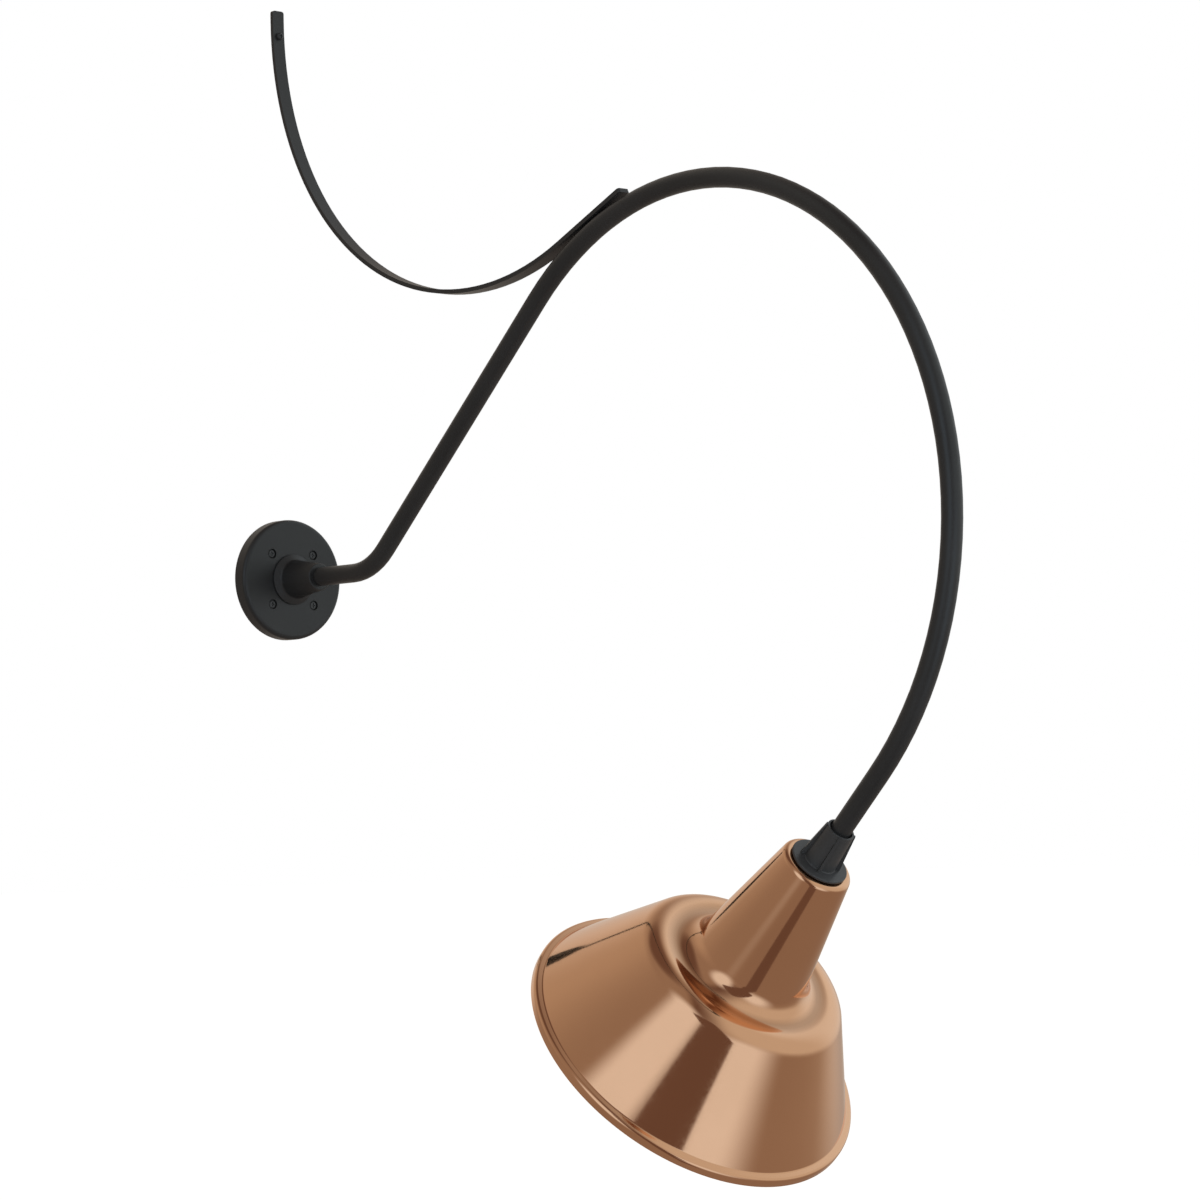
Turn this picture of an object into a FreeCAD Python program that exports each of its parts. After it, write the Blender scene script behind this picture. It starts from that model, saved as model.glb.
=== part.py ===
import FreeCAD, Part
import math
import os

os.makedirs("parts", exist_ok=True)

# Gooseneck wall sconce. Millimetres, +Z up.
# The origin is the centre of the wall plate, on the wall. The wall is the plane Y = 0, and the
# lamp reaches out from it towards -Y. The arm lies in the plane X = 0.
# "reach" is the distance out from the wall, "height" is Z, "drop" is the distance along the
# shade's axis from the end of the arm's large bend.

# Arm: one bent pipe
pipe_radius = 10.65
pipe_bore_radius = 7.9
arm_foot_straight = 134.0
arm_rise_radius = 88.0
arm_rise_angle = 42.5
arm_rise_straight = 370.0
arm_bend_radius = 361.0
arm_bend_angle = 177.75

# Wall plate
plate_radius = 69.85
plate_thickness = 18.0
plate_wall = 3.5
plate_edge_radius = 5.0
plate_ring_radius = 29.2
plate_ring_height = 2.5
hub_flare_height = 5.0
hub_foot_radius = 22.3
hub_tip_radius = 15.6
hub_length = 44.5
hub_socket_depth = 46.0
wire_hole_radius = 7.5
plate_screw_circle = 83.0
plate_screw_count = 4
plate_boss_radius = 7.5
gasket_width = 2.1
gasket_thickness = 1.5

# Plate screws
plate_screw_radius = 2.1
plate_screw_neck_radius = 2.4
plate_screw_head_radius = 4.6
plate_screw_head_height = 2.2
plate_recess_radius = 5.75
plate_recess_depth = 3.0
plate_boss_setback = 1.0
wall_screw_embedment = 22.0

# Strap
strap_width = 15.9
strap_thickness = 4.8
strap_bend_radius = 365.0
strap_seat_angle = 23.85
strap_overhang = 57.0
strap_top_straight = 12.0
strap_corner_radius = 3.0
strap_screw_setback = 30.5
strap_screw_radius = 2.4
strap_screw_neck_radius = 2.7
strap_screw_head_radius = 4.2
strap_screw_head_height = 4.8
strap_screw_embedment = 4.0
arm_screw_radius = 1.95
arm_screw_head_radius = 4.0
arm_screw_head_height = 3.4
arm_screw_offset = 10.0
arm_screw_tip = 1.5

# Set screw in the hub
set_screw_radius = 2.45
set_screw_length = 6.0
set_screw_setback = 11.0
set_screw_key_width = 2.5
set_screw_key_depth = 2.6

# Collar on the shade's neck
collar_top_drop = 74.0
collar_height = 43.0
collar_top_radius = 14.6
collar_foot_radius = 17.2
collar_mouth_radius = 12.6
collar_mouth_depth = 9.0
collar_flange_radius = 30.3
collar_flange_thickness = 2.6
collar_flange_rounding = 0.8
collar_stub_radius = 14.0
collar_stub_length = 9.5
rib_count = 4
rib_turn = 40.0
rib_thickness = 3.0
rib_top_radius = 15.8
rib_foot_radius = 21.6
neck_gasket_thickness = 1.0
neck_gasket_radius = 28.5
locknut_width = 36.0
locknut_height = 6.0

# Shade: one spun sheet
shade_wall = 1.2
neck_top_radius = 37.0
neck_top_rounding = 5.5
neck_base_radius = 64.9
neck_length = 151.4
neck_base_fillet = 15.0
shoulder_radius = 116.0
shoulder_depth = 11.0
shoulder_rounding = 14.0
skirt_foot_radius = 174.2
skirt_depth = 96.5
skirt_foot_fillet = 2.5
rim_radius = 182.4
ledge_depth = 1.5
ledge_rounding = 4.2
rim_depth = 10.4
hem_radius = 1.8

# Socket
pipe_end_drop = 183.0
cap_boss_radius = 14.5
cap_boss_length = 10.0
cap_radius = 22.0
cap_wall = 1.4
cap_dome_depth = 8.0
cap_skirt_depth = 13.0
cap_boss_overlap = 10.0
holder_neck_depth = 4.2
holder_radius = 22.0
holder_length = 44.0
holder_mouth_radius = 20.0
holder_mouth_taper = 8.0
holder_floor = 10.0
holder_bore_radius = 14.2
holder_screw_spread = 16.8
holder_screw_radius = 1.5
holder_screw_head_radius = 2.6
holder_screw_head_height = 1.5
holder_screw_bite = 7.0
holder_boss_radius = 2.9
post_radius = 1.7
post_spread = 11.0
shell_wall = 0.5
shell_length = 26.5
shell_flange_bore = 9.0
shell_flange_thickness = 0.7
contact_width = 5.0
contact_thickness = 0.6
contact_rise = 3.2
contact_gap = 0.3

# Bulb
bulb_contact_radius = 4.2
bulb_contact_height = 1.5
bulb_insulator_radius = 11.0
bulb_insulator_height = 2.6
bulb_cap_radius = 13.05
bulb_cap_wall = 0.6
bulb_cap_length = 21.0
bulb_neck_radius = 13.2
bulb_neck_length = 6.0
bulb_radius = 30.0
bulb_length = 108.0
bulb_wall = 1.0
glass_insert = 12.0
glass_shoulder_fillet = 14.0

# Wiring
wire_radius = 1.3
wire_spacing = 3.0
wire_bend_radius = 8.0
wire_inlet_reach = 6.0
wire_lead_end = 20.0
connector_radius = 4.2
connector_tip_radius = 2.6
connector_length = 18.0
ground_side = -16.0
ground_height = -36.0
ground_boss_radius = 4.5
ground_boss_height = 4.0
ground_screw_radius = 2.0
ground_screw_head_radius = 4.0
ground_screw_head_height = 2.4
ground_screw_bite = 5.5
terminal_radius = 4.4
terminal_thickness = 0.8
terminal_tab_width = 3.0
barrel_radius = 2.0
barrel_length = 6.0
ground_wire_run = 4.0

# Clearances
slide_fit = 0.05
loose_fit = 0.3
seat_gap = 0.15


def heading_vector(degrees):
    angle = math.radians(degrees)
    return math.cos(angle), math.sin(angle)


def point(reach, height, side=0.0):
    return FreeCAD.Vector(side, -reach, height)


def place(shape, reach, height, heading):
    """Lay a shape built along +Z along a heading in the arm's plane, 0 out from the wall, 90 up."""
    turn = FreeCAD.Rotation(FreeCAD.Vector(1, 0, 0), 90.0 - heading)
    moved = shape.copy()
    moved.Placement = FreeCAD.Placement(point(reach, height), turn).multiply(shape.Placement)
    return moved


def line(start, end):
    return Part.LineSegment(start, end).toShape()


def arc(start, middle, end):
    return Part.Arc(start, middle, end).toShape()


def outline(points, radii):
    """Edges of an open chain of (radius, drop) points, each inner corner rounded by its radius."""
    corners = [FreeCAD.Vector(x, 0, z) for x, z in points]
    edges = []
    last = corners[0]
    for before, corner, after, radius in zip(corners, corners[1:], corners[2:], radii):
        if radius <= 0:
            edges.append(line(last, corner))
            last = corner
            continue
        inward = (before - corner).normalize()
        outward = (after - corner).normalize()
        half = inward.getAngle(outward) / 2.0
        start = corner + inward * (radius / math.tan(half))
        end = corner + outward * (radius / math.tan(half))
        bisector = (inward + outward).normalize()
        middle = corner + bisector * (radius / math.sin(half) - radius)
        edges.append(line(last, start))
        edges.append(arc(start, middle, end))
        last = end
    edges.append(line(last, corners[-1]))
    return edges


def revolve(edges):
    """Turn a closed chain of edges in the XZ plane round the Z axis into a solid."""
    wire = Part.Wire(Part.__sortEdges__(edges))
    return Part.Face(wire).revolve(FreeCAD.Vector(0, 0, 0), FreeCAD.Vector(0, 0, 1), 360)


def turned(points, radii=None):
    """Solid of revolution from a closed ring of (radius, drop) points."""
    corner_radii = radii or [0.0] * (len(points) - 1)
    edges = outline(points, corner_radii)
    first = FreeCAD.Vector(points[0][0], 0, points[0][1])
    last = FreeCAD.Vector(points[-1][0], 0, points[-1][1])
    return revolve(edges + [line(last, first)])


def rod(radius, start, end, x=0.0, y=0.0):
    return Part.makeCylinder(radius, end - start, FreeCAD.Vector(x, y, start))


def ring(outer, inner, start, end):
    return rod(outer, start, end).cut(rod(inner, start, end))


def offset_chain(points, distance):
    """Shift an open chain of (radius, drop) points sideways, towards the inside of the shade."""
    shifted = []
    for (x0, z0), (x1, z1) in zip(points, points[1:]):
        length = math.hypot(x1 - x0, z1 - z0)
        nx = -(z1 - z0) / length * distance
        nz = (x1 - x0) / length * distance
        shifted.append(((x0 + nx, z0 + nz), (x1 + nx, z1 + nz)))
    chain = [shifted[0][0]]
    for ((x0, z0), (x1, z1)), ((x2, z2), (x3, z3)) in zip(shifted, shifted[1:]):
        cross = (x1 - x0) * (z3 - z2) - (z1 - z0) * (x3 - x2)
        along = ((x2 - x0) * (z3 - z2) - (z2 - z0) * (x3 - x2)) / cross
        chain.append((x0 + along * (x1 - x0), z0 + along * (z1 - z0)))
    chain.append(shifted[-1][1])
    return chain


# Route of the arm's centre line in its plane
rise = math.radians(arm_rise_angle)
shade_heading = arm_rise_angle - arm_bend_angle
rise_end = (
    arm_foot_straight + arm_rise_radius * math.sin(rise),
    arm_rise_radius * (1.0 - math.cos(rise)),
)
bend_start = (
    rise_end[0] + arm_rise_straight * math.cos(rise),
    rise_end[1] + arm_rise_straight * math.sin(rise),
)
bend_centre = (
    bend_start[0] + arm_bend_radius * math.sin(rise),
    bend_start[1] - arm_bend_radius * math.cos(rise),
)


def on_bend(heading, radius):
    """The (reach, height) on a circle about the large bend, where the route has this heading."""
    forward, upward = heading_vector(heading)
    return bend_centre[0] - radius * upward, bend_centre[1] + radius * forward


bend_end = on_bend(shade_heading, arm_bend_radius)


def hung(shape):
    """Place a shape built along the shade's axis, with Z as the drop from the bend's end."""
    return place(shape, bend_end[0], bend_end[1], shade_heading)


def walled(shape, side=0.0, height=0.0):
    """Place a shape built along the reach, with Z as the distance out from the wall."""
    moved = place(shape, 0.0, height, 0.0)
    moved.translate(FreeCAD.Vector(side, 0, 0))
    return moved


def arm_route(first_reach, last_drop, side=0.0):
    """Edges of the arm's centre line, or of a line beside it, from a reach to a drop."""
    half_rise = rise / 2.0
    rise_middle = (
        arm_foot_straight + arm_rise_radius * math.sin(half_rise),
        arm_rise_radius * (1.0 - math.cos(half_rise)),
    )
    bend_middle = on_bend(arm_rise_angle - arm_bend_angle / 2.0, arm_bend_radius)
    forward, upward = heading_vector(shade_heading)
    tip = (bend_end[0] + last_drop * forward, bend_end[1] + last_drop * upward)
    foot = point(first_reach, 0.0, side)
    stops = [
        point(arm_foot_straight, 0.0, side),
        point(*rise_middle, side),
        point(*rise_end, side),
        point(*bend_start, side),
        point(*bend_middle, side),
        point(*bend_end, side),
        point(*tip, side),
    ]
    return [
        line(foot, stops[0]),
        arc(stops[0], stops[1], stops[2]),
        line(stops[2], stops[3]),
        arc(stops[3], stops[4], stops[5]),
        line(stops[5], stops[6]),
    ]


def sweep(edges, radius):
    """A round rod along a chain of tangent edges."""
    path = Part.Wire(edges)
    start_edge = path.OrderedEdges[0]
    start = path.OrderedVertexes[0].Point
    along = start_edge.tangentAt(start_edge.FirstParameter)
    circle = Part.Wire(Part.makeCircle(radius, start, along))
    return path.makePipeShell([circle], True, False)


# Wall plate and what it holds

plate_face = plate_thickness - plate_wall
ring_edge = plate_thickness + plate_ring_height
hub_foot = ring_edge + hub_flare_height
hub_tip = hub_foot + hub_length
socket_foot = hub_tip - hub_socket_depth
plate_bore = plate_radius - plate_wall
plate_screw_seat = plate_thickness - plate_recess_depth
plate_screw_places = [
    (
        plate_screw_circle / 2.0 * math.cos(math.radians(45.0 + 360.0 / plate_screw_count * n)),
        plate_screw_circle / 2.0 * math.sin(math.radians(45.0 + 360.0 / plate_screw_count * n)),
    )
    for n in range(plate_screw_count)
]
ground_seat = plate_face - ground_boss_height


def strap_screw_seat():
    """Reach of the strap's front face level with the lower edge of the wall screw's head."""
    below = strap_arc_top - (strap_screw_height - strap_screw_head_radius)
    inner = strap_bend_radius - strap_thickness
    return strap_bend_radius - math.sqrt(inner * inner - max(below, 0.0) ** 2)


def make_wall_plate():
    gasket_shelf = plate_bore + gasket_width + slide_fit
    shell = turned(
        [
            (gasket_shelf, 0.0),
            (plate_radius, 0.0),
            (plate_radius, plate_thickness),
            (plate_ring_radius, plate_thickness),
            (plate_ring_radius, ring_edge),
            (hub_foot_radius, hub_foot),
            (hub_tip_radius, hub_tip),
            (pipe_radius + slide_fit, hub_tip),
            (pipe_radius + slide_fit, socket_foot),
            (wire_hole_radius, socket_foot),
            (wire_hole_radius, plate_face),
            (plate_bore, plate_face),
            (plate_bore, gasket_thickness),
            (gasket_shelf, gasket_thickness),
        ],
        [0, plate_edge_radius, 0, 0.8, 3.0, 1.5, 0, 0, 0, 0, 2.0, 0],
    )
    for x, y in plate_screw_places:
        shell = shell.fuse(rod(plate_boss_radius, plate_boss_setback, plate_face + 0.5, x, y))
    ground_boss = rod(ground_boss_radius, ground_seat, plate_face + 0.5, ground_side, ground_height)
    shell = shell.fuse(ground_boss)
    ground_hole_top = ground_seat + ground_screw_bite + loose_fit
    shell = shell.cut(
        rod(ground_screw_radius + slide_fit, ground_seat, ground_hole_top, ground_side, ground_height)
    )
    for x, y in plate_screw_places:
        shell = shell.cut(rod(plate_screw_neck_radius + loose_fit, 0.0, plate_thickness, x, y))
        shell = shell.cut(rod(plate_recess_radius, plate_screw_seat, plate_thickness + 1.0, x, y))
    plate = walled(shell)
    thread = place(rod(set_screw_radius + slide_fit, 0.0, hub_foot_radius), set_screw_reach, 0.0, -90.0)
    return plate.cut(thread).removeSplitter()


set_screw_reach = hub_tip - set_screw_setback


def make_wall_gasket():
    return walled(ring(plate_bore + gasket_width, plate_bore + slide_fit, 0.0, gasket_thickness))


def domed_head(radius, height, start):
    """A pan head along Z with a rounded crown."""
    return turned(
        [(0.0, start), (radius, start), (radius, start + height), (0.0, start + height)],
        [0, height * 0.6],
    )


def cross_recess(radius, top, depth):
    """Two crossed slots, cut from the crown of a screw head."""
    width = radius * 0.28
    length = radius * 1.1
    slots = []
    for x_size, y_size in ((length, width), (width, length)):
        corner = FreeCAD.Vector(-x_size / 2.0, -y_size / 2.0, top - depth)
        slots.append(Part.makeBox(x_size, y_size, depth + 1.0, corner))
    return slots[0].fuse(slots[1])


def make_plate_screws():
    screws = []
    head_top = plate_screw_seat + plate_screw_head_height
    for x, y in plate_screw_places:
        screw = domed_head(plate_screw_head_radius, plate_screw_head_height, plate_screw_seat)
        screw = screw.cut(cross_recess(plate_screw_head_radius, head_top, 1.4))
        screw = screw.fuse(rod(plate_screw_neck_radius, 0.0, plate_screw_seat + 0.2))
        screw = screw.fuse(rod(plate_screw_radius, -wall_screw_embedment, 0.2))
        screws.append(walled(screw, x, y))
    return Part.makeCompound(screws)


def make_arm_set_screw():
    start = pipe_radius + loose_fit
    end = start + set_screw_length
    screw = rod(set_screw_radius, start, end)
    key = prism(6, set_screw_key_width, end - set_screw_key_depth, end + 1.0)
    return place(screw.cut(key), set_screw_reach, 0.0, -90.0)


def prism(sides, width, start, end):
    """A regular prism along Z, measured across its flats."""
    corner_radius = width / 2.0 / math.cos(math.pi / sides)
    corners = []
    for n in range(sides + 1):
        angle = 2.0 * math.pi * n / sides
        corners.append(
            FreeCAD.Vector(corner_radius * math.cos(angle), corner_radius * math.sin(angle), start)
        )
    return Part.Face(Part.makePolygon(corners)).extrude(FreeCAD.Vector(0, 0, end - start))


def make_ground_screw():
    head_seat = ground_seat - terminal_thickness
    head = rod(ground_screw_head_radius, head_seat - ground_screw_head_height, head_seat)
    shank = rod(ground_screw_radius, head_seat - 0.2, ground_seat + ground_screw_bite)
    return walled(head.fuse(shank), ground_side, ground_height)


barrel_reach = ground_seat - terminal_thickness - 0.6
barrel_top = ground_height - ground_boss_radius - loose_fit
barrel_end = barrel_top - barrel_length


def make_ground_terminal():
    eye = rod(terminal_radius, ground_seat - terminal_thickness, ground_seat)
    eye = walled(eye, ground_side, ground_height)
    corner = point(ground_seat, barrel_top - 1.0, ground_side - terminal_tab_width / 2.0)
    tab_height = ground_height - barrel_top + 1.0
    tab = Part.makeBox(terminal_tab_width, terminal_thickness, tab_height, corner)
    barrel = place(rod(barrel_radius, 0.0, barrel_length), barrel_reach, barrel_top, -90.0)
    barrel.translate(FreeCAD.Vector(ground_side, 0, 0))
    hole = rod(ground_screw_radius + slide_fit, 0.0, plate_face)
    return eye.fuse(tab).fuse(barrel).cut(walled(hole, ground_side, ground_height))


def connector(heading_x):
    """A twist-on connector that points along +X or -X from the end of its lead."""
    cap = turned(
        [
            (0.0, 0.0),
            (connector_radius, 0.0),
            (connector_radius, connector_length * 0.4),
            (connector_tip_radius, connector_length),
            (0.0, connector_length),
        ],
        [0.6, 2.0, 1.2],
    )
    cap.rotate(FreeCAD.Vector(0, 0, 0), FreeCAD.Vector(0, 1, 0), 90.0 * heading_x)
    return cap


ground_lead_height = barrel_end - 1.0 - wire_bend_radius
ground_lead_end = ground_side + wire_bend_radius + ground_wire_run


def make_wire_connectors():
    line_cap = connector(1)
    line_cap.translate(point(wire_inlet_reach, 0.0, wire_lead_end))
    neutral_cap = connector(-1)
    neutral_cap.translate(point(wire_inlet_reach, 0.0, -wire_lead_end))
    ground_cap = connector(1)
    ground_cap.translate(point(barrel_reach, ground_lead_height, ground_lead_end))
    return Part.makeCompound([line_cap, neutral_cap, ground_cap])


def make_ground_wire():
    bend = wire_bend_radius
    low = barrel_end - 1.0
    diagonal = bend * math.cos(math.radians(45.0))
    edges = [
        line(point(barrel_reach, barrel_end, ground_side), point(barrel_reach, low, ground_side)),
        arc(
            point(barrel_reach, low, ground_side),
            point(barrel_reach, low - diagonal, ground_side + bend - diagonal),
            point(barrel_reach, low - bend, ground_side + bend),
        ),
        line(
            point(barrel_reach, low - bend, ground_side + bend),
            point(barrel_reach, low - bend, ground_lead_end),
        ),
    ]
    return sweep(edges, wire_radius)


# Arm and strap


def make_gooseneck_arm():
    route = arm_route(socket_foot, pipe_end_drop)
    pipe = sweep(route, pipe_radius).cut(sweep(route, pipe_bore_radius))
    hole = rod(arm_screw_radius + slide_fit, pipe_bore_radius / 2.0, pipe_radius + 5.0)
    forward, upward = heading_vector(strap_seat_angle)
    touch = on_bend(strap_seat_angle, arm_bend_radius)
    foot = (touch[0] + arm_screw_offset * forward, touch[1] + arm_screw_offset * upward)
    return pipe.cut(place(hole, foot[0], foot[1], strap_seat_angle + 90.0))


# The strap's back face leaves the wall on one arc and ends in a straight that touches the arm.
seat_forward, seat_upward = heading_vector(strap_seat_angle)
seat_touch = on_bend(strap_seat_angle, arm_bend_radius + pipe_radius + seat_gap)
strap_arc_top = seat_touch[1] + (
    strap_bend_radius + seat_upward * (strap_bend_radius - seat_touch[0])
) / seat_forward
strap_top_height = strap_arc_top + strap_top_straight
strap_screw_height = strap_top_height - strap_screw_setback


def strap_arc_point(angle, inset):
    """A point of the strap's arc, by the angle turned since the wall and the depth in the bar."""
    radius = strap_bend_radius - inset
    turn = math.radians(angle)
    return point(
        strap_bend_radius - radius * math.cos(turn), strap_arc_top - radius * math.sin(turn)
    )


def make_brace_strap():
    full_turn = 90.0 + strap_seat_angle
    reach_end = seat_touch[0] + strap_overhang * seat_forward
    height_end = seat_touch[1] + strap_overhang * seat_upward
    back_end = point(reach_end, height_end)
    front_end = point(
        reach_end - strap_thickness * seat_upward, height_end + strap_thickness * seat_forward
    )
    back_top = point(0.0, strap_top_height)
    front_top = point(strap_thickness, strap_top_height)
    arcs = []
    for inset in (0.0, strap_thickness):
        arcs.append([strap_arc_point(full_turn * part, inset) for part in (0.0, 0.5, 1.0)])
    back, front = arcs
    edges = [
        line(back_top, back[0]),
        arc(*back),
        line(back[2], back_end),
        line(back_end, front_end),
        line(front_end, front[2]),
        arc(front[2], front[1], front[0]),
        line(front[0], front_top),
        line(front_top, back_top),
    ]
    face = Part.Face(Part.Wire(edges))
    face.translate(FreeCAD.Vector(-strap_width / 2.0, 0, 0))
    bar = face.extrude(FreeCAD.Vector(strap_width, 0, 0))
    corners = [
        edge
        for edge in bar.Edges
        if abs(edge.Length - strap_thickness) < 0.01
    ]
    bar = bar.makeFillet(strap_corner_radius, corners)
    wall_hole = rod(strap_screw_neck_radius + loose_fit, -1.0, 2.0 * strap_thickness + 5.0)
    bar = bar.cut(walled(wall_hole, 0.0, strap_screw_height))
    arm_hole = rod(arm_screw_radius + loose_fit, -strap_thickness, 2.0 * strap_thickness)
    return bar.cut(on_seat(arm_hole))


def on_seat(shape):
    """Place a shape along the strap's arm screw, with Z = 0 on the strap's underside."""
    reach = seat_touch[0] + arm_screw_offset * seat_forward
    height = seat_touch[1] + arm_screw_offset * seat_upward
    return place(shape, reach, height, strap_seat_angle + 90.0)


def make_brace_wall_screw():
    seat = strap_screw_seat() + slide_fit
    screw = domed_head(strap_screw_head_radius, strap_screw_head_height, seat)
    top = seat + strap_screw_head_height
    screw = screw.cut(cross_recess(strap_screw_head_radius, top, 2.0))
    screw = screw.fuse(rod(strap_screw_neck_radius, 0.0, seat + 0.2))
    screw = screw.fuse(rod(strap_screw_radius, -strap_screw_embedment, 0.2))
    return walled(screw, 0.0, strap_screw_height)


def make_brace_arm_screw():
    top = strap_thickness + arm_screw_head_height
    screw = domed_head(arm_screw_head_radius, arm_screw_head_height, strap_thickness)
    screw = screw.cut(cross_recess(arm_screw_head_radius, top, 1.6))
    tip = -(seat_gap + pipe_radius - pipe_bore_radius + arm_screw_tip)
    return on_seat(screw.fuse(rod(arm_screw_radius, tip, strap_thickness + 0.2)))


# Collar, shade and their clamp, along the shade's axis

flange_top = collar_top_drop + collar_height
flange_foot = flange_top + collar_flange_thickness
neck_top = flange_foot + neck_gasket_thickness
locknut_top = neck_top + shade_wall
neck_base = neck_top + neck_length
shoulder = neck_base + shoulder_depth
skirt_foot = shoulder + skirt_depth
ledge_edge = skirt_foot + ledge_depth
rim_edge = ledge_edge + rim_depth
shade_hole_radius = collar_stub_radius + loose_fit


def make_shade_collar():
    body = turned(
        [
            (pipe_radius + slide_fit, flange_foot + collar_stub_length),
            (pipe_radius + slide_fit, collar_top_drop + collar_mouth_depth),
            (collar_mouth_radius, collar_top_drop + collar_mouth_depth),
            (collar_mouth_radius, collar_top_drop),
            (collar_top_radius, collar_top_drop),
            (collar_foot_radius, flange_top),
            (collar_flange_radius, flange_top),
            (collar_flange_radius, flange_foot),
            (collar_stub_radius, flange_foot),
            (collar_stub_radius, flange_foot + collar_stub_length),
        ],
        [0, 0, 0, 0.5, 1.0, collar_flange_rounding, collar_flange_rounding, 0],
    )
    root_radius = (collar_mouth_radius + collar_top_radius) / 2.0
    profile = Part.makePolygon(
        [
            FreeCAD.Vector(root_radius, -rib_thickness / 2.0, collar_top_drop),
            FreeCAD.Vector(rib_top_radius, -rib_thickness / 2.0, collar_top_drop),
            FreeCAD.Vector(rib_foot_radius, -rib_thickness / 2.0, flange_top + 0.1),
            FreeCAD.Vector(root_radius, -rib_thickness / 2.0, flange_top + 0.1),
            FreeCAD.Vector(root_radius, -rib_thickness / 2.0, collar_top_drop),
        ]
    )
    rib = Part.Face(profile).extrude(FreeCAD.Vector(0, rib_thickness, 0))
    for n in range(rib_count):
        turned_rib = rib.copy()
        angle = rib_turn + 360.0 / rib_count * n
        turned_rib.rotate(FreeCAD.Vector(0, 0, 0), FreeCAD.Vector(0, 0, 1), angle)
        body = body.fuse(turned_rib)
    return hung(body)


def make_neck_gasket():
    return hung(ring(neck_gasket_radius, collar_stub_radius + slide_fit, flange_foot, neck_top))


def make_neck_locknut():
    nut = prism(6, locknut_width, locknut_top, locknut_top + locknut_height)
    bore = rod(collar_stub_radius + slide_fit, locknut_top, locknut_top + locknut_height)
    return hung(nut.cut(bore))


def make_shade():
    hem_centre = rim_edge - hem_radius
    outer = [
        (shade_hole_radius, neck_top),
        (neck_top_radius, neck_top),
        (neck_base_radius, neck_base),
        (shoulder_radius, shoulder),
        (skirt_foot_radius, skirt_foot),
        (rim_radius, ledge_edge),
        (rim_radius, hem_centre),
    ]
    outer_radii = [
        neck_top_rounding,
        neck_base_fillet,
        shoulder_rounding,
        skirt_foot_fillet,
        ledge_rounding,
    ]
    inner_radii = [
        neck_top_rounding - shade_wall,
        neck_base_fillet + shade_wall,
        shoulder_rounding - shade_wall,
        skirt_foot_fillet + shade_wall,
        ledge_rounding - shade_wall,
    ]
    inner = offset_chain(outer, shade_wall)
    hem_inset = hem_radius - shade_wall
    hem_top = hem_centre - math.sqrt(hem_radius**2 - hem_inset**2)
    inner[-1] = (rim_radius - shade_wall, hem_top)
    hem = arc(
        FreeCAD.Vector(rim_radius, 0, hem_centre),
        FreeCAD.Vector(rim_radius - 2.0 * hem_radius, 0, hem_centre),
        FreeCAD.Vector(rim_radius - shade_wall, 0, hem_top),
    )
    hole_edge = line(
        FreeCAD.Vector(outer[0][0], 0, outer[0][1]), FreeCAD.Vector(inner[0][0], 0, inner[0][1])
    )
    edges = outline(outer, outer_radii) + [hem] + outline(inner, inner_radii) + [hole_edge]
    return hung(revolve(edges))


# Lampholder on the arm's end

cap_top = pipe_end_drop - cap_boss_overlap
cap_dome = cap_top + cap_boss_length
cap_shoulder = cap_dome + cap_dome_depth
cap_edge = cap_shoulder + cap_skirt_depth
holder_top = cap_edge - holder_neck_depth
holder_face = holder_top + holder_length
holder_seat = holder_top + holder_floor
holder_screw_places = [(0.0, holder_screw_spread), (0.0, -holder_screw_spread)]


def make_socket_cap():
    outside = [
        (0.0, cap_top),
        (cap_boss_radius, cap_top),
        (cap_boss_radius, cap_dome),
        (cap_radius, cap_shoulder),
        (cap_radius, cap_edge),
        (0.0, cap_edge),
    ]
    envelope = turned(outside, [1.0, 2.0, 3.0, 0])
    inside = [
        (0.0, cap_dome + cap_wall),
        (cap_boss_radius - cap_wall, cap_dome + cap_wall),
        (cap_radius - cap_wall, cap_shoulder + cap_wall / 2.0),
        (cap_radius - cap_wall, cap_edge + 1.0),
        (0.0, cap_edge + 1.0),
    ]
    cap = envelope.cut(turned(inside, [0, 2.0, 0]))
    boss_end = holder_top
    for x, y in holder_screw_places:
        boss = rod(holder_boss_radius, cap_dome, boss_end, x, y).common(envelope)
        cap = cap.fuse(boss)
    cap = cap.cut(rod(pipe_radius + slide_fit, cap_top - 1.0, cap_dome + cap_wall + 1.0))
    for x, y in holder_screw_places:
        cap = cap.cut(
            rod(holder_screw_radius + slide_fit, holder_top - holder_screw_bite - 0.5, holder_top, x, y)
        )
    return hung(cap)


def make_lampholder_body():
    body = turned(
        [
            (0.0, holder_top),
            (cap_radius - cap_wall - loose_fit, holder_top),
            (cap_radius - cap_wall - loose_fit, cap_edge + loose_fit),
            (holder_radius, cap_edge + loose_fit),
            (holder_radius, holder_face - holder_mouth_taper),
            (holder_mouth_radius, holder_face),
            (holder_bore_radius, holder_face),
            (holder_bore_radius, holder_seat),
            (0.0, holder_seat),
        ],
        [0, 0, 0.8, 3.0, 0.6, 1.0, 0],
    )
    for x in (post_spread, -post_spread):
        body = body.cut(rod(post_radius + slide_fit, holder_top - 1.0, holder_seat + 1.0, x))
    for x, y in holder_screw_places:
        body = body.cut(rod(holder_screw_radius + 0.15, holder_top - 1.0, holder_face + 1.0, x, y))
    return hung(body)


def make_lampholder_screws():
    screws = []
    head_end = holder_face + holder_screw_head_height
    for x, y in holder_screw_places:
        head = rod(holder_screw_head_radius, holder_face, head_end, x, y)
        slot_length = 3.0 * holder_screw_head_radius
        corner = FreeCAD.Vector(x - slot_length / 2.0, y - 0.4, head_end - 0.7)
        head = head.cut(Part.makeBox(slot_length, 0.8, 2.0, corner))
        shank = rod(holder_screw_radius, holder_top - holder_screw_bite, holder_face + 0.2, x, y)
        screws.append(hung(head.fuse(shank)))
    return Part.makeCompound(screws)


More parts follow.
